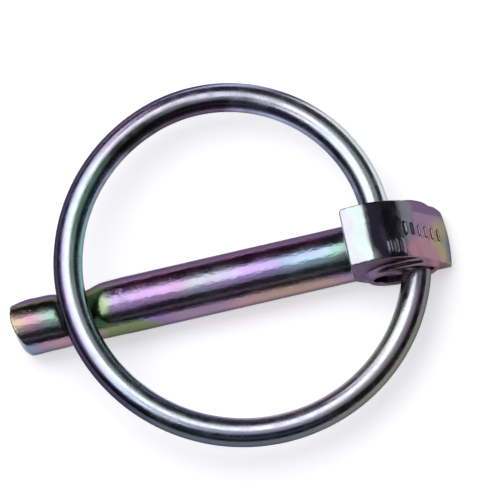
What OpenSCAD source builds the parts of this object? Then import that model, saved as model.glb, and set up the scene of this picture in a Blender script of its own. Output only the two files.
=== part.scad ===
// Lynch pin: a headed steel pin with a sprung wire ring that folds over its tip.
// It lies on its bosses and its tip, with the pin's axis along X and the head at
// +X. The ring hinges about Y in the head and folds down on the +Z side of the
// shank. The origin is on the pin's axis, in the plane of the head's shoulder.

/* [Shank] */
// Diameter of the shank
shank_d = 8; // [7.8:0.1:8.2]
// Length from the shoulder under the head to the end of the tip
shank_len = 48.4; // [47:0.2:50]
// Length of the waist in which the closed ring sits
waist_len = 6; // [5.8:0.1:6.4]
// Depth of the waist on the side where the ring lies
waist_depth_max = 0.85; // [0.6:0.05:0.9]
// Depth of the waist on the far side
waist_depth_min = 0.25; // [0.2:0.05:0.3]

/* [Tip] */
// Radius of the bowed face left where the bar was sheared off
shear_r = 7; // [6.5:0.1:8]
// How far the shear's deepest point lies off the axis
shear_shift = 0.85; // [0.6:0.05:1.2]
// Radius of the long roll-over on the side where the shear began
rollover_r = 15; // [13:0.5:18]
// Length of the roll-over
rollover_len = 5.8; // [5:0.1:6]
// Radius where the roll-over turns into the sheared face
shear_corner_r = 1.4; // [1:0.1:1.6]

/* [Head] */
// Length of the head along the pin
head_len = 13.9; // [13.4:0.1:14.2]
// Width of the head along the hinge
head_w = 8.4; // [8.2:0.1:8.8]
// Height of the head's crest above the pin's axis
crest_h = 10.5; // [10:0.1:11]
// Depth of the head's underside below the pin's axis
head_drop = 4.1; // [4.1:0.1:4.3]
// Length of the flat land between the shoulder and the crest
land_len = 3.3; // [3:0.1:3.6]
// Slope of the land up to the crest, in degrees
land_slope = 7; // [4:1:9]
// Radius of the back, which falls away behind the crest
back_r = 9; // [8.8:0.1:9.6]
// Slope at which the back starts and at which it runs out, in degrees
back_slopes = [10, 61];
// Length of the slant under the head, behind the shoulder
throat_len = 2.4; // [2:0.1:3]
// How much the bar swells along that slant, on the radius
throat_swell = 0.1; // [0.05:0.05:0.1]
// Radius of the bow of the rear face, seen from above
rear_bow_r = 22; // [18:1:30]
// Radius of the rounded rear corner, seen from above
rear_corner_r = 2.2; // [1.5:0.1:2.5]
// Radius of the other corners, seen from above
corner_r = 0.6; // [0.4:0.1:1]

/* [Eye] */
// Distance of the hinge behind the shoulder
hinge_x = 6.8; // [6.4:0.1:7]
// Height of the hinge above the pin's axis
hinge_z = 0.8; // [0.6:0.1:1]
// Radius of the round boss on each side of the head
boss_r = 5.3; // [5.2:0.1:5.4]
// Distance across the two bosses
boss_w = 10.2; // [10:0.1:10.6]
// Radius of the boss's rounded rim
boss_rim_r = 0.7; // [0.4:0.1:0.8]
// Depth of the pockets in which the ends of the wire turn
pocket_depth = 1.8; // [1.6:0.1:1.8]

/* [Ring] */
// Diameter of the ring's wire
wire_d = 4.1; // [4:0.05:4.1]
// Radius of the ring, to the middle of the wire
ring_r = 24.45; // [24.4:0.05:24.5]
// Distance of the ring's centre from the hinge
ring_reach = 21.8; // [21.7:0.1:21.8]
// How far the ring's centre lies to the side of the pin's axis
ring_shift = 1.5; // [1.4:0.1:1.6]
// Radius of the tighter stretch that brings one end inside the other
closing_r = 21; // [20.9:0.1:21.1]
// Where the tighter stretch starts, in degrees from the head's direction
closing_from = 110; // [108:1:112]
// Radius of the short bend into the head at the other end
end_bend_r = 4; // [3.8:0.1:4.2]
// Where the short bend starts, in degrees from the head's direction
bend_from = 15.5; // [15:0.5:16]
// Clearance between the ring and the pin
clearance = 0.1; // [0.05:0.05:0.15]

/* [Hidden] */
$fn = 96;

shank_r = shank_d / 2;
wire_r = wire_d / 2;
pocket_floor = boss_w / 2 - pocket_depth;
// The ends of the wire lie this far from the hinge's axis, on opposite sides of it
end_offset = 1.95;
// The wire comes in at a slant, so its seat is a little wider than the wire
seat_slack = 0.25;
seat_offset = end_offset - clearance;
seat_r = wire_r + seat_slack;

// Rounded corners stand this far proud of the faces beside them, and so meet them in a faint edge
edge_step = 0.03;
// Angle at which the tip's roll-over leaves the shank, and by which the back's run-out is steeper
faint_edge = 3;

// The waist is a ring-shaped cut whose axis is set off towards the ring's side
waist_shift = (waist_depth_max - waist_depth_min) / 2;
waist_depth = (waist_depth_max + waist_depth_min) / 2;
waist_cut_r = (waist_len * waist_len / 4 + waist_depth * waist_depth) / (2 * waist_depth);
ring_side = 45;

// The closed ring lies in the waist, and that sets how far it is raised
waist_top = shank_r - waist_depth - waist_shift * cos(ring_side);
hinge_to_waist = ring_reach + sqrt(ring_r * ring_r - ring_shift * ring_shift);
ring_raise = asin((waist_top + clearance + wire_r - hinge_z) / hinge_to_waist);
waist_x = hinge_x - hinge_to_waist * cos(ring_raise);

steel = "silver";
wire_steel = "lightsteelblue";
big = 100;

// Where two circles meet, taking the crossing on the left of the line from a to b
function meet(a, ra, b, rb) =
    let (d = norm(b - a), u = (b - a) / d,
         along = (ra * ra - rb * rb + d * d) / (2 * d),
         aside = sqrt(ra * ra - along * along))
    a + along * u + aside * [-u.y, u.x];

function unit(v) = v / norm(v);

// What lies outside a round of radius r about c, between the directions u and v
module round_waste(c, r, u, v) {
    reach = 3 * r;
    difference() {
        translate(c) polygon([[0, 0], reach * u, reach * (u + v), reach * v]);
        translate(c) circle(r = r);
    }
}

// Stands an outline drawn in X and Z upright, through the whole width
module upright(width) {
    rotate([90, 0, 0]) linear_extrude(height = width, center = true) children();
}

// ---- Shank ----

// Round bar up to the shoulder, which swells a little where it runs into the head
module bar() {
    translate([-shank_len, 0, 0]) rotate([0, 90, 0]) cylinder(r = shank_r, h = shank_len);
    rotate([0, 90, 0]) cylinder(r1 = shank_r, r2 = shank_r + throat_swell, h = throat_len);
}

// The ring's seat: a shallow round waist, deepest on the side where the ring lies
module waist_cut() {
    core_r = shank_r - waist_depth;
    translate([waist_x, 0, 0])
        rotate([-ring_side, 0, 0])
            translate([0, 0, -waist_shift])
                rotate([0, 90, 0])
                    rotate_extrude()
                        translate([core_r + waist_cut_r, 0]) circle(r = waist_cut_r);
}

// The sheared tip, seen along Z: a long roll-over, a small round and a bowed face
module tip_waste() {
    end = -shank_len - 1;
    shear_c = [-shank_len + shear_r, shear_shift];
    roll_c = [-shank_len + rollover_len + rollover_r * sin(faint_edge), shank_r - rollover_r * cos(faint_edge)];
    round_c = meet(roll_c, rollover_r - shear_corner_r + edge_step,
                   shear_c, shear_r - shear_corner_r + edge_step);
    linear_extrude(height = big, center = true) difference() {
        translate([end, -big / 2]) square([shear_r + 1, big]);
        translate(shear_c) circle(r = shear_r);
    }
    linear_extrude(height = big, center = true) difference() {
        translate([end, 0]) square([roll_c.x - end, big]);
        translate(roll_c) circle(r = rollover_r);
    }
    linear_extrude(height = big, center = true)
        round_waste(round_c, shear_corner_r, unit(round_c - roll_c), unit(round_c - shear_c));
}

module shank() {
    difference() {
        bar();
        waist_cut();
        tip_waste();
    }
}

// ---- Head ----

// Side of the head down to a given depth: flat land, curved back and straight run-out to the rear
module head_side(depth, throat) {
    crest = [land_len, crest_h];
    shoulder_top = crest_h - land_len * tan(land_slope);
    back_c = crest - back_r * [sin(back_slopes[0]), cos(back_slopes[0])];
    run_out = back_c + back_r * [sin(back_slopes[1]), cos(back_slopes[1])];
    fall = tan(back_slopes[1] + faint_edge);
    start = back_slopes[0] - 2 * faint_edge;
    end = back_slopes[1] + faint_edge;
    difference() {
        polygon([
            [0, 0], [0, shoulder_top], crest,
            [run_out.x - (crest_h - run_out.y) / fall, crest_h],
            [head_len, run_out.y - (head_len - run_out.x) * fall],
            [head_len, -depth], [throat, -depth]
        ]);
        round_waste(back_c, back_r, [sin(start), cos(start)], [sin(end), cos(end)]);
    }
}

// Waste outside a corner of the head, seen from above; sx and sy say which corner
module corner_waste(corner, sx, sy, r) {
    inset = r - edge_step;
    linear_extrude(height = big, center = true)
        round_waste(corner - inset * [sx, sy], r, [sx, 0], [0, sy]);
}

module rear_waste() {
    linear_extrude(height = big, center = true) difference() {
        translate([head_len - 1, -big / 2]) square([2, big]);
        translate([head_len - rear_bow_r, 0]) circle(r = rear_bow_r);
    }
}

module head_block() {
    side = head_w / 2;
    difference() {
        upright(head_w) head_side(head_drop, throat_len);
        rear_waste();
        corner_waste([head_len, side], 1, 1, rear_corner_r);
        corner_waste([head_len, -side], 1, -1, corner_r);
        corner_waste([0, side], -1, 1, corner_r);
        corner_waste([0, -side], -1, -1, corner_r);
    }
}

// Round boss through the head, with a rounded rim at each end
module eye_boss() {
    flat_r = boss_r - boss_rim_r;
    half = boss_w / 2;
    translate([hinge_x, 0, hinge_z]) rotate([90, 0, 0]) rotate_extrude() {
        translate([0, -half]) square([flat_r, boss_w]);
        translate([0, -half + boss_rim_r]) square([boss_r, boss_w - 2 * boss_rim_r]);
        for (side = [-1, 1])
            translate([flat_r, side * (half - boss_rim_r)]) circle(r = boss_rim_r);
    }
}

// The boss stops at the head's land, back and run-out
module trimmed_boss() {
    intersection() {
        eye_boss();
        upright(2 * boss_w) head_side(boss_r, 0);
    }
}

// Seat of a wire end, and the half circle that it sweeps as the ring swings over
module pocket_outline() {
    intersection() {
        circle(r = end_offset + wire_r + clearance);
        translate([-big / 2, 0]) square(big);
    }
    for (end = [-1, 1])
        translate([end * seat_offset, 0]) circle(r = seat_r);
}

// The end on the +Y side swings over the hinge's axis, and the other one under it
module pockets() {
    for (side = [-1, 1])
        translate([hinge_x, side * (pocket_floor + boss_w / 2), hinge_z])
            upright(boss_w) rotate([0, 0, (side > 0 ? 0 : 180) - ring_raise]) pocket_outline();
}

module pin_body() {
    color(steel) difference() {
        union() {
            shank();
            head_block();
            trimmed_boss();
        }
        pockets();
    }
}

// ---- Ring ----

module wire_arc(r, angle) {
    rotate_extrude(angle = angle) translate([r, 0]) circle(r = wire_r);
}

// One piece of wire bent round, seen from the hinge: a loop whose one end closes in
// on a tighter arc, so that it comes into the head beside the other end
module bent_wire() {
    half_loop = (360 - closing_from - bend_from) / 2;
    overlap = 5;
    translate([-ring_reach, ring_shift]) {
        rotate([0, 0, closing_from]) {
            wire_arc(ring_r, half_loop + overlap);
            translate([ring_r - closing_r, 0]) wire_arc(closing_r, -closing_from);
        }
        rotate([0, 0, -bend_from]) {
            wire_arc(ring_r, -half_loop);
            translate([ring_r - end_bend_r, 0]) wire_arc(end_bend_r, 2 * bend_from);
        }
    }
}

// The ends are cut off square where they reach the floors of the pockets
module ring_wire() {
    gap = 2 * (pocket_floor + clearance);
    // Takes in both ends of the wire, and stops short of the far side of the ring
    near = 4 * wire_d;
    difference() {
        bent_wire();
        cube([near, gap, near], center = true);
    }
}

module spring_ring() {
    color(wire_steel)
        translate([hinge_x, 0, hinge_z]) rotate([0, ring_raise, 0]) ring_wire();
}

pin_body();
spring_ring();
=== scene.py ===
"""Lynch pin with a sprung wire ring folded over its tip, lying on a pale floor.

The pin is a forged and sheared bar with a headed end; the ring is one bent wire
whose two ends turn in pockets in the head. Both are bright zinc plate with a
rainbow passivation, and their colours also hold painted shade on darker sides
and edges. Sizes are in millimetres unless a docstring says otherwise, and places
are the frame's own: X runs along the pin from the shoulder under the head, with
the tip at -X, and the ring hinges about Y.
"""

from __future__ import annotations

import logging
import math
from dataclasses import dataclass, field
from enum import Enum

import bmesh
import bpy
from mathutils import Matrix, Vector

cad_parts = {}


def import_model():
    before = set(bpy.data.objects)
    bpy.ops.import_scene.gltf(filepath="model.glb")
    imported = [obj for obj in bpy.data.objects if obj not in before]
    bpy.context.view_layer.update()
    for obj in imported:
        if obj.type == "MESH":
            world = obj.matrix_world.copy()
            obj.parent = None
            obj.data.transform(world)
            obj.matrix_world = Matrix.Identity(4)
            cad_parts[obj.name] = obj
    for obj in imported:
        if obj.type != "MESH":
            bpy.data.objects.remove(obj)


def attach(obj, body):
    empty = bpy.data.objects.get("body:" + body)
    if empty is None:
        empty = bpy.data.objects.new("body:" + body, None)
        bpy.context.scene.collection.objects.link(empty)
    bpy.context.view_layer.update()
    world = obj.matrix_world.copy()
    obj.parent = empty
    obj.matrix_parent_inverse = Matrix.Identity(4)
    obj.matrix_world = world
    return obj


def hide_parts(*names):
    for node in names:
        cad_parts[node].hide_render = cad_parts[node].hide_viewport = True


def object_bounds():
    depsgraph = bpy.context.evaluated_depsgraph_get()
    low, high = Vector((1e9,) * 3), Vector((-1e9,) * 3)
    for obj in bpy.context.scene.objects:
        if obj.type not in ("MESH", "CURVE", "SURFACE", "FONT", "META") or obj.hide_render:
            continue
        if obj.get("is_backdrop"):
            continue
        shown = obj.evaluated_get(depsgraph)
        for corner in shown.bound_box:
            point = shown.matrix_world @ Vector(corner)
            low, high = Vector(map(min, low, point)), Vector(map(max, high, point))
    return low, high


Piece = bpy.types.Object
Shape = bmesh.types.BMesh
Edge = bmesh.types.BMEdge
Vert = bmesh.types.BMVert
Tree = bpy.types.NodeTree
Socket = bpy.types.NodeSocket
Pair = tuple[float, float]
Triple = tuple[float, float, float]

log = logging.getLogger("lynch_pin")

MM = 0.001

# Points closer than this, in metres, are one.
WELD = 1e-7
# Profile of a bevel that is an arc of a circle.
ARC_PROFILE = 0.5

X_AXIS = Vector((1.0, 0.0, 0.0))
Y_AXIS = Vector((0.0, 1.0, 0.0))
Z_AXIS = Vector((0.0, 0.0, 1.0))


class Body(Enum):
    """Bodies of the frame, on which the pieces ride."""

    PIN = "pin"
    RING = "ring"


class Node(Enum):
    """Nodes of the frame that the pieces stand for."""

    PIN = "pin_body"
    RING = "spring_ring"


class Slot(Enum):
    """Material slots of the record."""

    PIN = "pin_steel"
    RING = "ring_steel"


class Solid(Enum):
    """Ways of combining two solids."""

    CUT = "DIFFERENCE"
    KEEP = "INTERSECT"
    JOIN = "UNION"


# ---- Mesh tools ----


def piece_of(name: str, bm: Shape) -> Piece:
    """Turns a bmesh into an object at the origin.

    Args:
        name: Name of the object and its mesh.
        bm: The shape, in metres. It is freed.

    Returns:
        The new object.
    """
    bmesh.ops.recalc_face_normals(bm, faces=bm.faces)
    mesh = bpy.data.meshes.new(name)
    bm.to_mesh(mesh)
    bm.free()
    piece = bpy.data.objects.new(name, mesh)
    bpy.context.collection.objects.link(piece)
    return piece


def settle(piece: Piece) -> None:
    """Applies a piece's modifiers to its mesh.

    Args:
        piece: The object, whose mesh is replaced.
    """
    graph = bpy.context.evaluated_depsgraph_get()
    done = bpy.data.meshes.new_from_object(piece.evaluated_get(graph))
    old = piece.data
    piece.modifiers.clear()
    piece.data = done
    bpy.data.meshes.remove(old)


def combine(piece: Piece, tool: Piece, how: Solid) -> None:
    """Joins, cuts or trims a piece with another solid, which is used up.

    Args:
        piece: The object that is changed.
        tool: The other solid.
        how: Whether the other solid is joined on, cut away or kept to.
    """
    boolean = piece.modifiers.new("combine", "BOOLEAN")
    boolean.solver = "MANIFOLD"
    boolean.operation = how.value
    boolean.object = tool
    settle(piece)
    mesh = tool.data
    bpy.data.objects.remove(tool)
    bpy.data.meshes.remove(mesh)


def round_bar(radius: float, length: float, sides: int, place: Matrix) -> Shape:
    """Makes a plain round bar.

    Args:
        radius: Radius of the bar.
        length: Length of the bar.
        sides: Number of its sides.
        place: Where it lies, in metres. Untouched, it stands along Z.

    Returns:
        The bar, in metres.
    """
    bm = bmesh.new()
    bmesh.ops.create_cone(
        bm,
        cap_ends=True,
        segments=sides,
        radius1=radius * MM,
        radius2=radius * MM,
        depth=length * MM,
        matrix=place,
    )
    return bm


def block(size: Triple, place: Matrix) -> Shape:
    """Makes a plain block.

    Args:
        size: Whole size along its own X, Y and Z.
        place: Where it lies, in metres.

    Returns:
        The block, in metres.
    """
    bm = bmesh.new()
    scale = Matrix.Diagonal((*(s * MM for s in size), 1))
    bmesh.ops.create_cube(bm, size=1.0, matrix=place @ scale)
    return bm


def arc(bm: Shape, start: Vert, centre: Vector, axis: Vector, degrees: float, steps: int) -> Vert:
    """Draws an arc of edges by spinning a vertex.

    Args:
        bm: The mesh that is drawn in.
        start: The vertex at which the arc starts.
        centre: Centre of the arc, in metres.
        axis: Axis about which it turns.
        degrees: How far it turns.
        steps: Number of edges.

    Returns:
        The vertex at which the arc ends.
    """
    spun = bmesh.ops.spin(
        bm,
        geom=[start],
        cent=centre,
        axis=axis,
        angle=math.radians(degrees),
        steps=steps,
        use_merge=False,
    )
    return next(e for e in spun["geom_last"] if isinstance(e, Vert))


def link_up(bm: Shape, chain: list[Vert]) -> None:
    """Draws straight edges from each vertex of a chain to the next.

    Args:
        bm: The mesh that is drawn in.
        chain: The vertices, in order.
    """
    for here, there in zip(chain, chain[1:]):
        bm.edges.new((here, there))


def raise_outline(name: str, bm: Shape, along: Vector) -> Piece:
    """Fills a closed outline and extrudes it into a solid, evenly to both sides.

    Args:
        name: Name of the solid.
        bm: Mesh that holds the outline as one loop of edges.
        along: Direction and whole length of the extrusion, in metres.

    Returns:
        The solid.
    """
    bmesh.ops.remove_doubles(bm, verts=bm.verts, dist=WELD)
    bmesh.ops.contextual_create(bm, geom=bm.edges)
    bmesh.ops.translate(bm, verts=bm.verts, vec=-along / 2)
    grown = bmesh.ops.extrude_face_region(bm, geom=bm.faces)
    moved = [g for g in grown["geom"] if isinstance(g, Vert)]
    bmesh.ops.translate(bm, verts=moved, vec=along)
    return piece_of(name, bm)


def round_edges(bm: Shape, edges: list[Edge], radius: float, steps: int) -> None:
    """Rounds chosen edges of a shape.

    Args:
        bm: The shape.
        edges: The edges.
        radius: Radius of the rounding.
        steps: Number of steps across it.
    """
    bmesh.ops.bevel(
        bm,
        geom=edges,
        offset=radius * MM,
        offset_type="OFFSET",
        affect="EDGES",
        segments=steps,
        profile=ARC_PROFILE,
        material=-1,
    )


# ---- The pin ----


@dataclass
class Shank:
    """Round bar with a shallow waist for the ring and a sheared tip.

    The waist is deepest on the ring's side. The shear left a bowed face across the
    tip and a long roll-over on its +Y side.
    """

    radius: float = 4.0
    length: float = 48.4
    into_head: float = 6.0
    sides: int = 192
    waist_x: float = -38.7
    waist_len: float = 5.4
    waist_deep: float = 0.85
    waist_shallow: float = 0.25
    waist_turn: float = 45.0
    waist_steps: int = 160
    shear_r: float = 7.0
    shear_shift: float = 0.85
    shear_towards: float = 180.0
    shear_spread: float = 160.0
    rollover_r: float = 15.0
    rollover_len: float = 5.8
    rollover_towards: float = 120.0
    rollover_spread: float = 60.0
    waste_steps: int = 48
    waste_reach: float = 3.0
    waste_height: float = 40.0

    def bar(self) -> Piece:
        """Makes the plain round bar, which runs on into the head.

        Returns:
            The bar.
        """
        middle = (self.into_head - self.length) / 2 * MM
        place = Matrix.Translation((middle, 0, 0)) @ Matrix.Rotation(math.pi / 2, 4, "Y")
        whole = self.length + self.into_head
        return piece_of("shank", round_bar(self.radius, whole, self.sides, place))

    def waist(self) -> Piece:
        """Makes the cutter of the waist, a hoop set off to cut deepest on the ring's side.

        Returns:
            The cutter.
        """
        shift = (self.waist_deep - self.waist_shallow) / 2
        depth = (self.waist_deep + self.waist_shallow) / 2
        bow = (self.waist_len**2 / 4 + depth**2) / (2 * depth)
        off = Matrix.Rotation(math.radians(-self.waist_turn), 3, "X") @ (-shift * Z_AXIS)
        core = Vector((self.waist_x, off.y, off.z)) * MM
        bm = bmesh.new()
        bmesh.ops.create_circle(
            bm,
            cap_ends=False,
            segments=self.waist_steps,
            radius=bow * MM,
            matrix=Matrix.Translation(core + (self.radius - depth + bow) * MM * Y_AXIS),
        )
        bmesh.ops.spin(
            bm,
            geom=bm.verts[:] + bm.edges[:],
            cent=core,
            axis=X_AXIS,
            angle=math.tau,
            steps=self.waist_steps,
            use_merge=True,
        )
        return piece_of("waist", bm)

    def _beyond(self, centre: Vector, radius: float, towards: float, spread: float) -> Piece:
        """Makes the waste outside a round, seen along Z.

        Args:
            centre: Centre of the round.
            radius: Radius of the round.
            towards: Direction in which the waste lies, in degrees from +X.
            spread: How much of the round it follows, in degrees.

        Returns:
            The cutter, a slab with one hollow side.
        """
        bm = bmesh.new()
        first = math.radians(towards - spread / 2)
        last = math.radians(towards + spread / 2)

        def point(angle: float, reach: float) -> Vector:
            """Returns a point at an angle and a distance from the centre, in metres."""
            return (centre + reach * Vector((math.cos(angle), math.sin(angle), 0))) * MM

        start = bm.verts.new(point(first, radius))
        end = arc(bm, start, centre * MM, Z_AXIS, spread, self.waste_steps)
        far = self.waste_reach * radius
        corners = [bm.verts.new(point(a, far)) for a in (last, (first + last) / 2, first)]
        link_up(bm, [end, *corners, start])
        return raise_outline("waste", bm, self.waste_height * MM * Z_AXIS)

    def build(self) -> Piece:
        """Makes the finished shank.

        Returns:
            The shank, closed inside the head.
        """
        shank = self.bar()
        combine(shank, self.waist(), Solid.CUT)
        face = Vector((self.shear_r - self.length, self.shear_shift, 0))
        side = Vector((self.rollover_len - self.length, self.radius - self.rollover_r, 0))
        for waste in (
            (face, self.shear_r, self.shear_towards, self.shear_spread),
            (side, self.rollover_r, self.rollover_towards, self.rollover_spread),
        ):
            combine(shank, self._beyond(*waste), Solid.CUT)
        return shank


@dataclass
class Head:
    """Forged head: a flat land, a crest, and a back that falls away to the rear.

    Slopes are in degrees down from level. Seen from above, the rear face is bowed
    and its +Y corner well rounded. The block of that outline, which trims the head,
    is taller than the head.
    """

    length: float = 13.9
    width: float = 8.4
    crest_z: float = 10.5
    drop: float = 4.1
    land_len: float = 3.3
    land_slope: float = 7.0
    back_r: float = 9.0
    back_from: float = 10.0
    back_to: float = 61.0
    back_steps: int = 48
    run_out_slope: float = 64.0
    throat_len: float = 2.4
    rear_bow_r: float = 22.0
    rear_bow_sides: int = 512
    rear_corner_r: float = 1.7
    front_corner_r: float = 0.6
    near_corner_r: float = 0.5
    corner_steps: int = 12
    edge_r: float = 0.35
    edge_steps: int = 3
    edge_turn: float = 25.0
    plan_height: float = 26.25
    bow_height: float = 31.5

    def _from_centre(self, slope: float) -> Vector:
        """Returns the way from the back's centre to where it has a slope in degrees."""
        here = math.radians(slope)
        return self.back_r * Vector((math.sin(here), 0, math.cos(here)))

    def on_back(self, slope: float) -> Vector:
        """Returns the point of the back at which it has a slope in degrees."""
        crest = Vector((self.land_len, 0, self.crest_z))
        return crest - self._from_centre(self.back_from) + self._from_centre(slope)

    def back_at(self, x: float) -> tuple[Vector, float]:
        """Finds the back at a distance from the shoulder.

        Args:
            x: The distance.

        Returns:
            The point of the back there, and its slope in degrees.
        """
        low = self.on_back(self.back_to)
        if x >= low.x:
            fall = math.tan(math.radians(self.run_out_slope))
            return Vector((x, 0, low.z - (x - low.x) * fall)), self.run_out_slope
        start = self.land_len - self.back_r * math.sin(math.radians(self.back_from))
        slope = math.degrees(math.asin((x - start) / self.back_r))
        return self.on_back(slope), slope

    def side_block(self, depth: float, throat: float, width: float) -> Piece:
        """Makes the head's side outline through a given width.

        Args:
            depth: How far it reaches below the pin's axis.
            throat: How far the slant under the head runs back.
            width: Whole width along the hinge.

        Returns:
            The block.
        """
        shoulder_z = self.crest_z - self.land_len * math.tan(math.radians(self.land_slope))
        crest = self.on_back(self.back_from)
        centre = crest - self._from_centre(self.back_from)
        rear_z = self.back_at(self.length)[0].z
        bm = bmesh.new()
        first = bm.verts.new(crest * MM)
        turn = self.back_to - self.back_from
        last = arc(bm, first, centre * MM, Y_AXIS, turn, self.back_steps)
        rest = (
            (self.length, rear_z),
            (self.length, -depth),
            (throat, -depth),
            (0, 0),
            (0, shoulder_z),
        )
        corners = [bm.verts.new(Vector((x, 0, z)) * MM) for x, z in rest]
        link_up(bm, [last, *corners, first])
        return raise_outline("head", bm, width * MM * Y_AXIS)

    def plan_block(self) -> Piece:
        """Makes the head's outline from above, with its bowed rear and round corners.

        Returns:
            The block.
        """
        half = self.width / 2
        middle = Matrix.Translation((self.length / 2 * MM, 0, 0))
        bm = block((self.length, self.width, self.plan_height), middle)
        for x, y, radius in (
            (self.length, half, self.rear_corner_r),
            (self.length, -half, self.near_corner_r),
            (0.0, half, self.front_corner_r),
            (0.0, -half, self.near_corner_r),
        ):
            corner = Vector((x, y)) * MM
            upright = [
                e for e in bm.edges if all((v.co.xy - corner).length < WELD for v in e.verts)
            ]
            round_edges(bm, upright, radius, self.corner_steps)
        plan = piece_of("plan", bm)
        place = Matrix.Translation(((self.length - self.rear_bow_r) * MM, 0, 0))
        bow = round_bar(self.rear_bow_r, self.bow_height, self.rear_bow_sides, place)
        combine(plan, piece_of("rear_bow", bow), Solid.KEEP)
        return plan

    def build(self) -> Piece:
        """Makes the finished head.

        Returns:
            The head, with rounded edges.
        """
        head = self.side_block(self.drop, self.throat_len, self.width)
        combine(head, self.plan_block(), Solid.KEEP)
        bevel = head.modifiers.new("round", "BEVEL")
        bevel.width = self.edge_r * MM
        bevel.segments = self.edge_steps
        bevel.limit_method = "ANGLE"
        bevel.angle_limit = math.radians(self.edge_turn)
        settle(head)
        return head


@dataclass
class Eye:
    """Round bosses on the head's sides, with the pockets in which the wire turns.

    Each pocket is half a round, with a seat for the wire at each end of it. The
    boss stands out less on the +Y side, by the far trim.
    """

    x: float = 6.8
    z: float = 0.8
    boss_r: float = 5.3
    boss_w: float = 10.2
    boss_sides: int = 128
    far_trim: float = 0.4
    rim_r: float = 0.7
    rim_steps: int = 6
    pocket_depth: float = 1.8
    pocket_sides: int = 96
    sweep_r: float = 4.2
    seat_r: float = 2.4
    seat_off: float = 1.85
    tilt: float = 5.73

    def boss(self) -> Piece:
        """Makes the boss, a round slug through the head with rounded rims.

        Returns:
            The boss.
        """
        middle = Vector((self.x, -self.far_trim / 2, self.z)) * MM
        place = Matrix.Translation(middle) @ Matrix.Rotation(math.pi / 2, 4, "X")
        bm = round_bar(self.boss_r, self.boss_w - self.far_trim, self.boss_sides, place)
        rims = [e for e in bm.edges if abs(e.verts[0].co.y - e.verts[1].co.y) < WELD]
        round_edges(bm, rims, self.rim_r, self.rim_steps)
        return piece_of("boss", bm)

    def _slug(self, radius: float, x: float, side: int) -> Shape:
        """Makes a round cutter into one side of the head.

        Args:
            radius: Radius of the cutter.
            x: Its distance from the hinge, before the eye's tilt.
            side: 1 for the +Y side and -1 for the -Y side.

        Returns:
            The cutter, standing on the floor of the pocket.
        """
        floor = self.boss_w / 2 - self.pocket_depth
        length = 2 * self.pocket_depth
        place = (
            Matrix.Translation(Vector((self.x, side * (floor + length / 2), self.z)) * MM)
            @ Matrix.Rotation(math.radians(self.tilt), 4, "Y")
            @ Matrix.Translation((x * MM, 0, 0))
            @ Matrix.Rotation(math.pi / 2, 4, "X")
        )
        return round_bar(radius, length, self.pocket_sides, place)

    def pocket(self, side: int) -> Piece:
        """Makes the kidney-shaped cutter of one pocket.

        Args:
            side: 1 for the +Y side and -1 for the -Y side.

        Returns:
            The cutter.
        """
        bm = self._slug(self.sweep_r, 0.0, side)
        cut = bmesh.ops.bisect_plane(
            bm,
            geom=bm.verts[:] + bm.edges[:] + bm.faces[:],
            plane_co=Vector((self.x, 0, self.z)) * MM,
            plane_no=Matrix.Rotation(math.radians(self.tilt), 3, "Y") @ (-side * Z_AXIS),
            clear_outer=True,
        )
        edges = [g for g in cut["geom_cut"] if isinstance(g, Edge)]
        bmesh.ops.holes_fill(bm, edges=edges, sides=0)
        kidney = piece_of("kidney", bm)
        for end in (-1, 1):
            seat = self._slug(self.seat_r, end * self.seat_off, side)
            combine(kidney, piece_of("seat", seat), Solid.JOIN)
        return kidney


@dataclass(frozen=True)
class BarRow:
    """One row of plain raised bars on the head's back.

    Attributes:
        first: X and Y of the first bar.
        last: X and Y of the last bar.
        count: Number of bars.
        size: Size of each along the back and across it.
        rise: How far each stands out.
    """

    first: Pair
    last: Pair
    count: int
    size: Pair
    rise: float

    def build(self, head: Head) -> list[Piece]:
        """Makes the bars of the row.

        Args:
            head: The head on whose back they stand.

        Returns:
            The bars, sunk into the back as far as they stand out of it.
        """
        bars = []
        for i in range(self.count):
            here = Vector(self.first).lerp(Vector(self.last), i / (self.count - 1))
            spot, slope = head.back_at(here.x)
            place = Matrix.Translation((spot + here.y * Y_AXIS) * MM)
            lie = place @ Matrix.Rotation(math.radians(slope), 4, "Y")
            bars.append(piece_of("bar", block((*self.size, 2 * self.rise), lie)))
        return bars


MARK_ROWS = (
    BarRow(first=(8.7, 0.1), last=(12.6, -0.3), count=6, size=(0.45, 1.7), rise=0.32),
    BarRow(first=(6.0, -2.5), last=(7.7, -2.5), count=3, size=(0.35, 1.6), rise=0.2),
)


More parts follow.
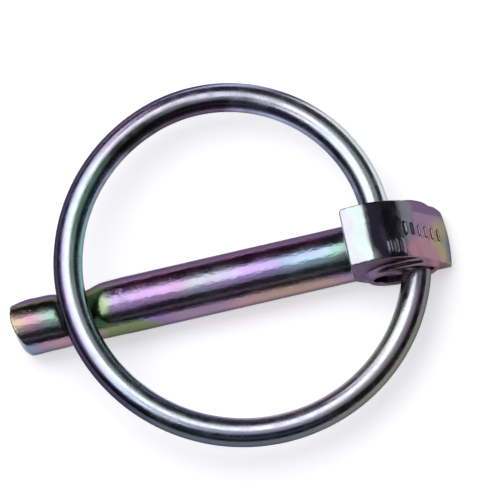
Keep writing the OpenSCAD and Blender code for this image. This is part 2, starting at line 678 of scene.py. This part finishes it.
@dataclass
class PinBody:
    """The pin: shank, head and eye in one piece of steel.

    Its skin is remade from small even faces and softened, then rubbed down at the
    waist's lips and, less so, at the eye's rims.
    """

    shank: Shank = field(default_factory=Shank)
    head: Head = field(default_factory=Head)
    eye: Eye = field(default_factory=Eye)
    marks: tuple[BarRow, ...] = MARK_ROWS
    skin: float = 0.16
    softening: int = 5
    wear: int = 220
    smooth_step: float = 0.5
    lip_reach: float = 6.5
    eye_reach: float = 5.8
    eye_depth: float = 1.0
    eye_wear: float = 0.2

    def build(self) -> Piece:
        """Makes the pin.

        Returns:
            The pin, as one closed skin with worn-in edges.
        """
        pin = self.shank.build()
        combine(pin, self.head.build(), Solid.JOIN)
        boss = self.eye.boss()
        limit = self.head.side_block(self.eye.boss_r, 0.0, 2 * self.eye.boss_w)
        combine(boss, limit, Solid.KEEP)
        combine(pin, boss, Solid.JOIN)
        for side in (-1, 1):
            combine(pin, self.eye.pocket(side), Solid.CUT)
        for row in self.marks:
            for bar in row.build(self.head):
                combine(pin, bar, Solid.JOIN)
        self._forge(pin)
        pin.name = "pin"
        return pin

    def _forge(self, pin: Piece) -> None:
        """Gives the pin an even skin and softens its edges.

        Args:
            pin: The joined solids.
        """
        skin = pin.modifiers.new("skin", "REMESH")
        skin.mode = "VOXEL"
        skin.voxel_size = self.skin * MM
        soft = pin.modifiers.new("soften", "SMOOTH")
        soft.factor = self.smooth_step
        soft.iterations = self.softening
        settle(pin)
        worn = pin.vertex_groups.new(name="worn")
        for vertex in pin.data.vertices:
            worn.add([vertex.index], self._wear_at(vertex.co / MM), "REPLACE")
        rub = pin.modifiers.new("rub", "SMOOTH")
        rub.factor = self.smooth_step
        rub.iterations = self.wear
        rub.vertex_group = worn.name
        settle(pin)
        pin.vertex_groups.clear()
        pin.data.shade_smooth()

    def _wear_at(self, spot: Vector) -> float:
        """Tells how much a place is rubbed.

        Args:
            spot: The place.

        Returns:
            The wear, from 0 to 1: fully at the waist's lips, a little at the eye's rims.
        """
        lips = self.lip_reach - abs(spot.x - self.shank.waist_x)
        from_hinge = (spot - Vector((self.eye.x, spot.y, self.eye.z))).length
        out = abs(spot.y) > self.head.width / 2 - self.eye_depth
        rims = self.eye_wear if from_hinge < self.eye_reach and out else 0.0
        return max(min(1.0, max(0.0, lips)), rims)


# ---- The ring ----


@dataclass
class SpringRing:
    """One wire bent into a ring, its ends side by side in the head.

    Places are from the hinge. Angles are in degrees round the ring from the head's
    direction, apart from the tilt by which the ring is raised over the tip. One end
    is brought in by a tighter stretch, and the other by a short bend.
    """

    hinge: Triple = (6.8, 0.0, 0.8)
    raised: float = 5.73
    wire_r: float = 2.05
    ring_r: float = 24.45
    reach: float = 21.8
    shift: float = 1.5
    closing_r: float = 21.0
    closing_from: float = 110.0
    end_bend_r: float = 4.0
    bend_from: float = 15.5
    sides: int = 64
    step: float = 1.5
    pocket_floor: float = 3.45

    def _sweep(self, bm: Shape, edges: list[Edge], centre: Vector, degrees: float) -> list[Edge]:
        """Carries the wire's open end on round an arc.

        Args:
            bm: The wire.
            edges: The loop of edges at its open end.
            centre: Centre of the arc, in metres.
            degrees: How far it goes round.

        Returns:
            The loop of edges at the new end.
        """
        verts = list(dict.fromkeys(v for e in edges for v in e.verts))
        spun = bmesh.ops.spin(
            bm,
            geom=verts + edges,
            cent=centre,
            axis=Z_AXIS,
            angle=math.radians(degrees),
            steps=round(abs(degrees) / self.step),
            use_merge=False,
        )
        return [g for g in spun["geom_last"] if isinstance(g, Edge)]

    def build(self) -> Piece:
        """Makes the wire.

        Returns:
            The wire, closed over the waist and capped at both ends.
        """
        bm = bmesh.new()
        centre = Vector((-self.reach, self.shift, 0)) * MM
        turn = Matrix.Rotation(math.radians(self.closing_from), 4, "Z")
        start = Matrix.Translation(centre) @ turn @ Matrix.Translation((self.ring_r * MM, 0, 0))
        bmesh.ops.create_circle(
            bm,
            cap_ends=False,
            segments=self.sides,
            radius=self.wire_r * MM,
            matrix=start @ Matrix.Rotation(math.pi / 2, 4, "X"),
        )
        first = bm.edges[:]
        last = self._sweep(bm, first, centre, 360 - self.closing_from - self.bend_from)
        self._bring_in(bm, last, -self.bend_from, self.end_bend_r, -1)
        self._bring_in(bm, first, self.closing_from, self.closing_r, 1)
        bmesh.ops.remove_doubles(bm, verts=bm.verts, dist=WELD)
        tip_up = Matrix.Rotation(math.radians(self.raised), 4, "Y")
        raised = Matrix.Translation(Vector(self.hinge) * MM) @ tip_up
        bmesh.ops.transform(bm, matrix=raised, verts=bm.verts)
        ring = piece_of("ring", bm)
        ring.data.shade_smooth()
        return ring

    def _bring_in(
        self, bm: Shape, edges: list[Edge], start: float, radius: float, side: int
    ) -> None:
        """Bends an end of the wire in to the floor of its pocket and caps it.

        Args:
            bm: The wire.
            edges: The loop of edges at the end.
            start: Where the bend starts.
            radius: Radius of the bend.
            side: 1 for the pocket on the +Y side and -1 for the one on the -Y side.
        """
        here = math.radians(start)
        inward = self.ring_r - radius
        rise = (side * self.pocket_floor - self.shift - inward * math.sin(here)) / radius
        centre = Vector((-self.reach, self.shift, 0)) * MM
        pivot = centre + Matrix.Rotation(here, 3, "Z") @ (inward * MM * X_AXIS)
        end = self._sweep(bm, edges, pivot, math.degrees(math.asin(rise) - here))
        bmesh.ops.contextual_create(bm, geom=end)


# ---- Node tools ----


SURFACE = "Principled BSDF"
NUMBERS = "ShaderNodeMath"
VECTORS = "ShaderNodeVectorMath"


def work_out(
    kind: str, how: str, first: Socket, *rest: Socket | float | tuple[float, ...]
) -> Socket:
    """Adds a calculation to the nodes that a socket belongs to.

    Args:
        kind: Type of the node, for numbers or for vectors.
        how: The operation.
        first: The socket, which feeds the calculation's first input.
        rest: What goes into each of its other inputs, a socket or a fixed value.

    Returns:
        The socket that gives the result.
    """
    tree = first.id_data
    node = tree.nodes.new(kind)
    node.operation = how
    for slot, feed in zip(node.inputs, (first, *rest)):
        if isinstance(feed, Socket):
            tree.links.new(feed, slot)
        else:
            slot.default_value = feed
    return next(s for s in node.outputs if s.enabled)


def rescale(value: Socket, old: Pair, new: Pair, clamp: bool = True) -> Socket:
    """Adds a node that takes a value from one range to another.

    Args:
        value: Socket that gives the value.
        old: Lowest and highest value.
        new: What they become.
        clamp: Whether the result stays between those two.

    Returns:
        The socket that gives the result.
    """
    tree = value.id_data
    span = tree.nodes.new("ShaderNodeMapRange")
    span.clamp = clamp
    span.inputs["From Min"].default_value, span.inputs["From Max"].default_value = old
    span.inputs["To Min"].default_value, span.inputs["To Max"].default_value = new
    tree.links.new(value, span.inputs["Value"])
    return span.outputs["Result"]


# ---- Finish ----


@dataclass(frozen=True)
class Along:
    """How far a place lies along a direction, from 0 at a start.

    Attributes:
        start: Where it is 0.
        slope: How much it grows with each millimetre along X, Y and Z.
    """

    start: Triple
    slope: Triple

    def measure(self, place: Socket) -> Socket:
        """Adds the nodes that measure it at a place."""
        away = work_out(VECTORS, "SUBTRACT", place, tuple(c * MM for c in self.start))
        return work_out(VECTORS, "DOT_PRODUCT", away, tuple(c / MM for c in self.slope))


@dataclass(frozen=True)
class Around:
    """How far a place lies outside a round of some radius, or inside it.

    Attributes:
        centre: Centre of the round.
        radius: Its radius, at which the distance is 0.
        rate: How much it grows with each millimetre outwards, or inwards if negative.
    """

    centre: Triple
    radius: float
    rate: float

    def measure(self, place: Socket) -> Socket:
        """Adds the nodes that measure it at a place."""
        reach = work_out(VECTORS, "DISTANCE", place, tuple(c * MM for c in self.centre))
        return work_out(NUMBERS, "MULTIPLY_ADD", reach, self.rate / MM, -self.radius * self.rate)


@dataclass(frozen=True)
class Turning:
    """How far round a centre a place lies, as a part of a turn.

    Attributes:
        centre: The centre. From it, -X lies at both 0 and 1, and +X at 0.5.
    """

    centre: Triple

    def measure(self, place: Socket) -> Socket:
        """Adds the nodes that measure it at a place.

        Args:
            place: Socket that gives the coordinates.

        Returns:
            The socket that gives the part of a turn.
        """
        away = work_out(VECTORS, "SUBTRACT", place, tuple(c * MM for c in self.centre))
        tree = place.id_data
        turn = tree.nodes.new("ShaderNodeTexGradient")
        turn.gradient_type = "RADIAL"
        tree.links.new(away, turn.inputs["Vector"])
        return turn.outputs["Fac"]


@dataclass(frozen=True)
class FilmAndShade:
    """Colours of the passivation film over a piece or a side of it, some darker as painted shade.

    Attributes:
        tints: The colours, evenly from the film's thinnest to its thickest.
        thickness: How the film's thickness grows over the piece, from 0 to 1.
        side: Where these colours take over from the ones below them. None is all over.
    """

    tints: tuple[Triple, ...]
    thickness: Along | Turning
    side: Along | Around | None = None

    def ramp(self, thickness: Socket) -> Socket:
        """Adds a ramp that runs evenly through the tints.

        Args:
            thickness: Socket that gives the film's thickness.

        Returns:
            The socket that gives the colour.
        """
        tree = thickness.id_data
        ramp = tree.nodes.new("ShaderNodeValToRGB")
        points = ramp.color_ramp.elements
        last = len(self.tints) - 1
        for i in range(1, last):
            points.new(i / last)
        for point, tint in zip(points, self.tints):
            point.color = (*tint, 1.0)
        tree.links.new(thickness, ramp.inputs["Fac"])
        return ramp.outputs["Color"]


@dataclass(frozen=True)
class RainbowZinc:
    """Bright zinc plate whose passivation film shows soft rainbow colours and painted shade.

    Attributes:
        name: Name of the material.
        slot: Slot of the record that it is meant for. It is not used.
        films_and_shade: The film's colours all over, then on the sides that differ, whose darker
            colours are painted shade.
        stretch: How much longer the patches, waves and hazy spots are along X.
        wander: How far the film's thickness strays in the patches.
        heights: Heights of the waves and the grain.
        roughness: Lowest and highest roughness.
        seed: Where in the noise the pattern is taken.
        patch: Size of the patches in which the thickness strays.
        waves: Size of the faint waves in the surface.
        grain: Size of the fine grain.
        grain_stretch: How much longer the grain is along X.
        haze: Size of the hazy spots.
        detail: Detail of the noise.
        haze_detail: Detail of the noise in the hazy spots.
        stray_span: Values of the noise at which the thickness strays fully.
        haze_span: Values of the noise at the lowest and highest roughness.
        edge: How much of the shine is left where the surface is seen edge on.
    """

    name: str
    slot: Slot
    films_and_shade: tuple[FilmAndShade, ...]
    stretch: float
    wander: float
    heights: Pair
    roughness: Pair
    seed: float
    patch: float = 4.0
    waves: float = 1.6
    grain: float = 0.32
    grain_stretch: float = 2.0
    haze: float = 1.92
    detail: float = 2.0
    haze_detail: float = 4.0
    stray_span: Pair = (0.3, 0.7)
    haze_span: Pair = (0.35, 0.65)
    edge: Triple = (0.40, 0.40, 0.43)

    def make(self) -> bpy.types.Material:
        """Makes the material, with its film colours, grain and wear.

        Returns:
            The material.
        """
        material = bpy.data.materials.new(self.name)
        material.use_nodes = True
        tree = material.node_tree
        shader = tree.nodes[SURFACE]
        shader.inputs["Metallic"].default_value = 1.0
        shader.inputs["Specular Tint"].default_value = (*self.edge, 1.0)
        place = tree.nodes.new("ShaderNodeTexCoord").outputs["Object"]
        tree.links.new(self._colour(place), shader.inputs["Base Color"])
        tree.links.new(self._haze(place), shader.inputs["Roughness"])
        tree.links.new(self._surface(place), shader.inputs["Normal"])
        return material

    def _colour(self, place: Socket) -> Socket:
        """Adds the nodes that colour the film and its painted shade.

        Args:
            place: Socket that gives the coordinates.

        Returns:
            The socket that gives the colour.
        """
        tree = place.id_data
        patches = self._noise(place, self.patch, self.stretch, self.detail)
        stray = rescale(patches, self.stray_span, (-self.wander, self.wander), clamp=False)
        colour = None
        for film in self.films_and_shade:
            even = film.thickness.measure(place)
            ramp = film.ramp(work_out(NUMBERS, "ADD", even, stray))
            if film.side is None:
                colour = ramp
                continue
            over = tree.nodes.new("ShaderNodeMix")
            over.data_type = "RGBA"
            goals = [s for s in over.inputs if s.enabled]
            for goal, feed in zip(goals, (film.side.measure(place), colour, ramp)):
                tree.links.new(feed, goal)
            colour = next(s for s in over.outputs if s.enabled)
        return colour

    def _haze(self, place: Socket) -> Socket:
        """Adds the nodes that vary the roughness, as worn and hazy spots do."""
        spots = self._noise(place, self.haze, self.stretch, self.haze_detail)
        return rescale(spots, self.haze_span, self.roughness)

    def _surface(self, place: Socket) -> Socket:
        """Adds the faint waves of the drawn or forged steel and the grain of the plate.

        Args:
            place: Socket that gives the coordinates.

        Returns:
            The socket that gives the surface's normal.
        """
        tree = place.id_data
        below = None
        sizes, stretches = (self.waves, self.grain), (self.stretch, self.grain_stretch)
        for size, stretch, height in zip(sizes, stretches, self.heights):
            bump = tree.nodes.new("ShaderNodeBump")
            bump.inputs["Strength"].default_value = 1.0
            bump.inputs["Distance"].default_value = height * MM
            relief = self._noise(place, size, stretch, self.detail)
            tree.links.new(relief, bump.inputs["Height"])
            if below is not None:
                tree.links.new(below, bump.inputs["Normal"])
            below = bump.outputs["Normal"]
        return below

    def _noise(self, place: Socket, size: float, stretch: float, detail: float) -> Socket:
        """Adds a noise over the piece's own coordinates.

        Args:
            place: Socket that gives the coordinates.
            size: Size of its patches.
            stretch: How much longer they are along X.
            detail: Detail of the noise.

        Returns:
            The socket that gives the noise.
        """
        tree = place.id_data
        mapping = tree.nodes.new("ShaderNodeMapping")
        mapping.inputs["Location"].default_value = (self.seed, self.seed, 0.0)
        mapping.inputs["Scale"].default_value = (1 / stretch, 1.0, 1.0)
        noise = tree.nodes.new("ShaderNodeTexNoise")
        noise.inputs["Scale"].default_value = 1 / (size * MM)
        noise.inputs["Detail"].default_value = detail
        tree.links.new(place, mapping.inputs["Vector"])
        tree.links.new(mapping.outputs["Vector"], noise.inputs["Vector"])
        return noise.outputs["Fac"]


# ---- Studio ----


WHITE: Triple = (1.0, 1.0, 1.0)


@dataclass(frozen=True)
class SoftPanel:
    """A flat soft panel that hangs level over the object, in metres.

    Attributes:
        name: Name of the lamp.
        low: Its corner with the lowest X and Y.
        high: Its corner with the highest X and Y.
        height: Height over the object.
        radiance: How bright it looks, where 1 is white.
        tint: Its colour.
        mirrored: Whether bright metal shows it.
    """

    name: str
    low: Pair
    high: Pair
    height: float
    radiance: float
    tint: Triple = WHITE
    mirrored: bool = True

    def hang(self) -> None:
        """Hangs the panel."""
        lamp = bpy.data.lights.new(self.name, "AREA")
        lamp.shape = "RECTANGLE"
        lamp.size = self.high[0] - self.low[0]
        lamp.size_y = self.high[1] - self.low[1]
        lamp.energy = self.radiance * math.pi * lamp.size * lamp.size_y
        lamp.color = self.tint
        panel = bpy.data.objects.new(self.name, lamp)
        panel.visible_glossy = self.mirrored
        centre = [(a + b) / 2 for a, b in zip(self.low, self.high)]
        panel.location = (*centre, self.height)
        bpy.context.collection.objects.link(panel)


# Two bright panels hang just under the wide one and four hang round it. The last one
# lights the floor and doesn't show in the metal.
PANELS = (
    SoftPanel("soft_wide", (-0.72, -0.32), (0.18, 0.58), 0.6, 0.42, tint=(0.9, 0.88, 1.15)),
    SoftPanel("soft_core", (-0.16, -0.01), (0.12, 0.40), 0.59, 1.30),
    SoftPanel("soft_key", (-0.60, -0.27), (-0.16, 0.60), 0.59, 1.2),
    SoftPanel("soft_front", (-0.5, -1.25), (0.5, -0.95), 0.6, 0.24),
    SoftPanel("soft_left", (-1.5, -0.3), (-0.72, 0.9), 0.6, 0.25),
    SoftPanel("soft_back", (-1.1, 0.60), (-0.14, 1.2), 0.6, 0.95),
    SoftPanel("soft_right", (0.18, -0.3), (0.7, 0.4), 0.6, 0.30),
    SoftPanel("floor_fill", (-1.0, 0.0), (1.0, 2.0), 1.2, 1.0, mirrored=False),
)


@dataclass(frozen=True)
class MattCloth:
    """Matt paper or cloth of one grey, which may glow.

    Attributes:
        name: Name of the material.
        shade: How much light it gives back.
        glow: Colour of the light that it gives off.
    """

    name: str
    shade: float
    glow: Triple

    def make(self) -> tuple[bpy.types.Material, Socket]:
        """Makes the material.

        Returns:
            The material, and the socket that says how strongly it glows.
        """
        material = bpy.data.materials.new(self.name)
        material.use_nodes = True
        inputs = material.node_tree.nodes[SURFACE].inputs
        inputs["Base Color"].default_value = (self.shade, self.shade, self.shade, 1.0)
        inputs["Roughness"].default_value = 1.0
        inputs["Specular IOR Level"].default_value = 0.0
        inputs["Emission Color"].default_value = (*self.glow, 1.0)
        return material, inputs["Emission Strength"]


@dataclass
class Studio:
    """Pale floor, soft panels overhead, a dark tent around them, and the camera.

    Distances are in metres and angles in degrees. The lens, its film and the place
    that the camera aims at are in millimetres.
    """

    floor_reach: float = 3.0
    floor_sides: int = 96
    floor_lift: float = 0.5
    floor_paper: MattCloth = MattCloth("floor_paper", shade=0.9, glow=WHITE)
    dim: float = 0.05
    tent_r: float = 1.4
    tent_steps: int = 4
    tent_glow: float = 0.03
    tent_cloth: MattCloth = MattCloth("tent_cloth", shade=0.02, glow=(0.95, 0.92, 1.25))
    tilt: float = 13.5
    lean: float = 2.0
    roll: float = 12.97
    distance: float = 2.0
    lens_per_metre: float = 513.0
    film_width: float = 36.0
    aim: Triple = (-13.57, 3.77, 0.0)

    def floor(self, height: float) -> None:
        """Lays the floor.

        Args:
            height: Height of the floor.
        """
        bm = bmesh.new()
        bmesh.ops.create_circle(
            bm,
            cap_ends=True,
            segments=self.floor_sides,
            radius=self.floor_reach,
            matrix=Matrix.Translation((0, 0, height)),
        )
        floor = piece_of("floor", bm)
        material, strength = self.floor_paper.make()
        tree = material.node_tree
        lift = work_out(NUMBERS, "MULTIPLY", self._seen(tree), self.floor_lift)
        tree.links.new(lift, strength)
        floor.data.materials.append(material)
        floor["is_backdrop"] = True

    def _seen(self, tree: Tree) -> Socket:
        """Adds nodes that say whether a surface is seen, directly, in metal or through glass.

        Args:
            tree: The nodes of a material or world.

        Returns:
            A socket that is 1 where it is seen and 0 otherwise.
        """
        path = tree.nodes.new("ShaderNodeLightPath").outputs
        seen = path["Is Camera Ray"]
        for other in ("Is Glossy Ray", "Is Transmission Ray"):
            seen = work_out(NUMBERS, "MAXIMUM", seen, path[other])
        return seen

    def world(self) -> None:
        """Sets a world that is white where it is seen and dim as a light."""
        world = bpy.data.worlds.new("studio_world")
        world.use_nodes = True
        bpy.context.scene.world = world
        tree = world.node_tree
        back = tree.nodes["Background"]
        back.inputs["Color"].default_value = (*WHITE, 1.0)
        strength = rescale(self._seen(tree), (0.0, 1.0), (self.dim, 1.0))
        tree.links.new(strength, back.inputs["Strength"])

    def tent(self) -> None:
        """Puts up the dark tent that the metal mirrors, out of the camera's sight."""
        bm = bmesh.new()
        bmesh.ops.create_icosphere(bm, subdivisions=self.tent_steps, radius=self.tent_r)
        tent = piece_of("tent", bm)
        tent.visible_camera = False
        tent.visible_shadow = False
        material, strength = self.tent_cloth.make()
        strength.default_value = self.tent_glow
        tent.data.materials.append(material)
        tent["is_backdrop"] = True

    def camera(self) -> None:
        """Sets up the camera, tipped towards -Y and a little towards +X, and rolled."""
        lens = bpy.data.cameras.new("camera")
        lens.lens = self.lens_per_metre * self.distance
        lens.sensor_width = self.film_width
        camera = bpy.data.objects.new("camera", lens)
        turn = (
            Matrix.Rotation(math.radians(self.tilt), 4, "X")
            @ Matrix.Rotation(math.radians(self.lean), 4, "Y")
            @ Matrix.Rotation(math.radians(-self.roll), 4, "Z")
        )
        away = turn.to_3x3() @ (self.distance * Z_AXIS)
        camera.matrix_world = Matrix.Translation(Vector(self.aim) * MM + away) @ turn
        bpy.context.collection.objects.link(camera)
        bpy.context.scene.camera = camera

    def build(self, floor_height: float) -> None:
        """Builds the whole studio.

        Args:
            floor_height: Height of the floor.
        """
        self.camera()
        self.floor(floor_height)
        self.world()
        self.tent()
        for panel in PANELS:
            panel.hang()
        bpy.context.scene.view_settings.view_transform = "Standard"


# ---- Tints and finishes ----


GOLD = (0.50, 0.43, 0.24)
ROSE = (0.50, 0.29, 0.35)
MINT = (0.27, 0.45, 0.35)
LIME = (0.35, 0.46, 0.27)
LILAC = (0.45, 0.32, 0.58)
ORCHID = (0.53, 0.34, 0.53)
PALE = (0.49, 0.39, 0.62)
MIST = (0.34, 0.38, 0.52)
CYAN = (0.36, 0.49, 0.55)
PERI = (0.43, 0.46, 0.65)
ICE = (0.52, 0.62, 0.56)
PEARL = (0.55, 0.54, 0.59)
SILVER = (0.43, 0.45, 0.47)
FROST = (0.61, 0.69, 0.68)
SNOW = (0.68, 0.69, 0.73)
BLUSH = (0.65, 0.59, 0.68)
SAGE = (0.46, 0.51, 0.41)
TEAL = (0.22, 0.38, 0.37)
SKY = (0.14, 0.27, 0.38)
OCHRE = (0.36, 0.31, 0.17)
TAN = (0.34, 0.24, 0.20)
BRIAR = (0.36, 0.21, 0.25)
WINE = (0.34, 0.17, 0.20)
CLARET = (0.36, 0.14, 0.27)
PLUM = (0.24, 0.14, 0.24)
VIOLET = (0.24, 0.15, 0.34)
MAUVE = (0.28, 0.19, 0.28)
# The darker tints below are painted shade: they darken the flanks, edges, waist and head's back
# where the metal mirrors dark surroundings.
DUSK = (0.18, 0.12, 0.20)
UMBER = (0.19, 0.13, 0.15)
TAUPE = (0.19, 0.19, 0.16)
SLATE = (0.15, 0.17, 0.20)
STEEL = (0.10, 0.12, 0.15)
STONE = (0.18, 0.18, 0.20)
OLIVE = (0.16, 0.20, 0.10)
MOSS = (0.10, 0.12, 0.06)
DAMSON = (0.12, 0.08, 0.13)
NAVY = (0.06, 0.05, 0.09)
# Near-black painted shade.
SHADE_BLACK = (0.07, 0.075, 0.07)

FROM_TIP = Along((-49.6, 0, 0), (0.016, 0, 0))
OVER_BACK = Along((-0.5, 0, 0), (0.0694, 0, 0))
OVER_LIP = Along((-37.9, 0, 0), (0.167, 0, 0))
OVER_TIP = Along((-48.4, 0, 0), (0.12, 0, 0))
RING_CENTRE = (-14.9, 1.5, 3.0)
ARC_CENTRE = (-16.1, 4.7, 3.1)
ROUND_RING = Turning(RING_CENTRE)

PIN_FILMS_AND_SHADE = (
    # All over. The moss at the waist is painted shade in its hollow.
    FilmAndShade(
        (GOLD, ROSE, MINT, MOSS, MOSS, LILAC, ORCHID, ORCHID, SILVER,
         PALE, LILAC, MIST, CYAN, MINT, SLATE, PLUM, MAUVE, MAUVE),
        FROM_TIP,
    ),
    # The waist and its lip, with moss as painted shade in the hollow, then the tip.
    FilmAndShade((MOSS, MOSS, LIME, LILAC, LILAC), OVER_LIP, side=Along((-31.5, 0, 0), (-0.6, 0, 0))),
    FilmAndShade((GOLD, ROSE, MINT, GOLD), OVER_TIP, side=Along((-40.5, 0, 0), (-1, 0, 0))),
    # The -Y flank: film tints darker than on top, as painted shade.
    FilmAndShade(
        (SKY, SKY, MAUVE, BRIAR, OLIVE, OLIVE, VIOLET, MAUVE, MAUVE,
         BRIAR, TAN, TAN, TAN, MAUVE, SLATE, PLUM, WINE, OCHRE),
        FROM_TIP,
        side=Along((0, -1, 0), (0, -0.45, 0)),
    ),
    # The +Y flank, then its edge: dark plum, claret and moss as painted shade, darker at the
    # edge.
    FilmAndShade(
        (PLUM, OLIVE, MOSS, MOSS, OLIVE, PLUM, CLARET, CLARET, PLUM,
         CLARET, CLARET, CLARET, CLARET, PLUM, MAUVE, MAUVE, MAUVE, MAUVE),
        FROM_TIP,
        side=Along((0, 1.1, 0), (0, 1.5, 0)),
    ),
    FilmAndShade((DUSK, DUSK), FROM_TIP, side=Along((0, 2.5, 0), (0, 3, 0))),
    # The head's land and back, then the -Y side of its rear, then its -Y face; their dark bands
    # are painted shade.
    FilmAndShade(
        (ICE, PEARL, ICE, ICE, NAVY, NAVY, STONE, STONE,
         SLATE, MAUVE, MAUVE, BRIAR, SLATE),
        OVER_BACK,
        side=Along((0, 0, 4.8), (0, 0, 1)),
    ),
    FilmAndShade(
        (SHADE_BLACK, SHADE_BLACK, SHADE_BLACK, SHADE_BLACK, SHADE_BLACK, SHADE_BLACK, PLUM, PLUM,
         WINE, BRIAR, BRIAR, OCHRE, SLATE),
        OVER_BACK,
        side=Along((10, 0, 0), (0.6, -0.6, 0)),
    ),
    FilmAndShade(
        (DUSK, DUSK, DUSK, DUSK, UMBER, DUSK, UMBER, UMBER,
         UMBER, UMBER, WINE, WINE, OCHRE),
        OVER_BACK,
        side=Along((0, -3.9, 0), (0, -4, 0)),
    ),
)

PIN_FINISH = RainbowZinc(
    name="pin_zinc",
    slot=Slot.PIN,
    films_and_shade=PIN_FILMS_AND_SHADE,
    stretch=1.6,
    wander=0.05,
    heights=(0.010, 0.030),
    roughness=(0.12, 0.26),
    seed=0.3,
)

RING_CROWN = (
    FROST, FROST, SNOW, SNOW, SNOW, BLUSH, SNOW, FROST, SNOW, BLUSH, BLUSH, FROST, FROST,
)

RING_FILMS_AND_SHADE = (
    # The crown all over, then outwards from it on the tighter stretch, going to navy painted
    # shade at the edge.
    FilmAndShade(RING_CROWN, ROUND_RING),
    FilmAndShade(
        (*RING_CROWN[:6], MIST, MIST, PERI, PERI, *RING_CROWN[10:]),
        ROUND_RING,
        side=Around(ARC_CENTRE, radius=21.4, rate=1.6),
    ),
    FilmAndShade(
        (*RING_CROWN[:6], SLATE, NAVY, NAVY, NAVY, *RING_CROWN[10:]),
        ROUND_RING,
        side=Around(ARC_CENTRE, radius=22.1, rate=2.2),
    ),
    # Inwards from the crown; the steel, damson and near-black at the inner edge are painted
    # shade.
    FilmAndShade(
        (FROST, FROST, FROST, SNOW, SNOW, FROST, *RING_CROWN[6:9], SILVER, SHADE_BLACK, MINT, FROST),
        ROUND_RING,
        side=Around(RING_CENTRE, radius=24.8, rate=-1.5),
    ),
    FilmAndShade(
        (TEAL, CYAN, MIST, PEARL, PEARL, SAGE, *RING_CROWN[6:9], STEEL, SHADE_BLACK, TEAL, TEAL),
        ROUND_RING,
        side=Around(RING_CENTRE, radius=23.9, rate=-2.0),
    ),
    FilmAndShade(
        (MIST, MIST, MIST, MIST, MIST, MIST, MIST, STEEL, MIST, DAMSON, SHADE_BLACK, MIST, MIST),
        ROUND_RING,
        side=Around(ARC_CENTRE, radius=20.4, rate=-2.0),
    ),
    # Outwards from it on the rest of the ring, going to navy painted shade at the outer edge.
    FilmAndShade(
        (LILAC, MIST, CYAN, MIST, TAUPE, PLUM, MIST, MIST, MIST, PERI, PALE, PERI, LILAC),
        ROUND_RING,
        side=Around(RING_CENTRE, radius=24.8, rate=1.6),
    ),
    FilmAndShade(
        (NAVY, NAVY, STEEL, STEEL, TAUPE, TAUPE, SLATE, NAVY, NAVY, NAVY, DAMSON, NAVY, NAVY),
        ROUND_RING,
        side=Around(RING_CENTRE, radius=25.5, rate=2.2),
    ),
)

RING_FINISH = RainbowZinc(
    name="ring_zinc",
    slot=Slot.RING,
    films_and_shade=RING_FILMS_AND_SHADE,
    stretch=1.0,
    wander=0.03,
    heights=(0.006, 0.009),
    roughness=(0.16, 0.30),
    seed=0.7,
)


def dress(piece: Piece, finish: RainbowZinc, body: Body, node: Node) -> None:
    """Gives a piece its finish and its body, and hides the node that it stands for.

    Args:
        piece: The finished piece.
        finish: Its finish.
        body: The body that it rides on.
        node: The node that it replaces.
    """
    piece.data.materials.clear()
    piece.data.materials.append(finish.make())
    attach(piece, body.value)
    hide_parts(node.value)
    log.info("%s: %d faces, rides on %s", piece.name, len(piece.data.polygons), body.value)


def main() -> None:
    """Builds the pin, the ring and the studio in the frame."""
    logging.basicConfig(level=logging.INFO, format="%(message)s")
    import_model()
    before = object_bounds()
    Studio().build(before[0][2])
    dress(PinBody().build(), PIN_FINISH, Body.PIN, Node.PIN)
    dress(SpringRing().build(), RING_FINISH, Body.RING, Node.RING)


if __name__ == "__main__":
    main()
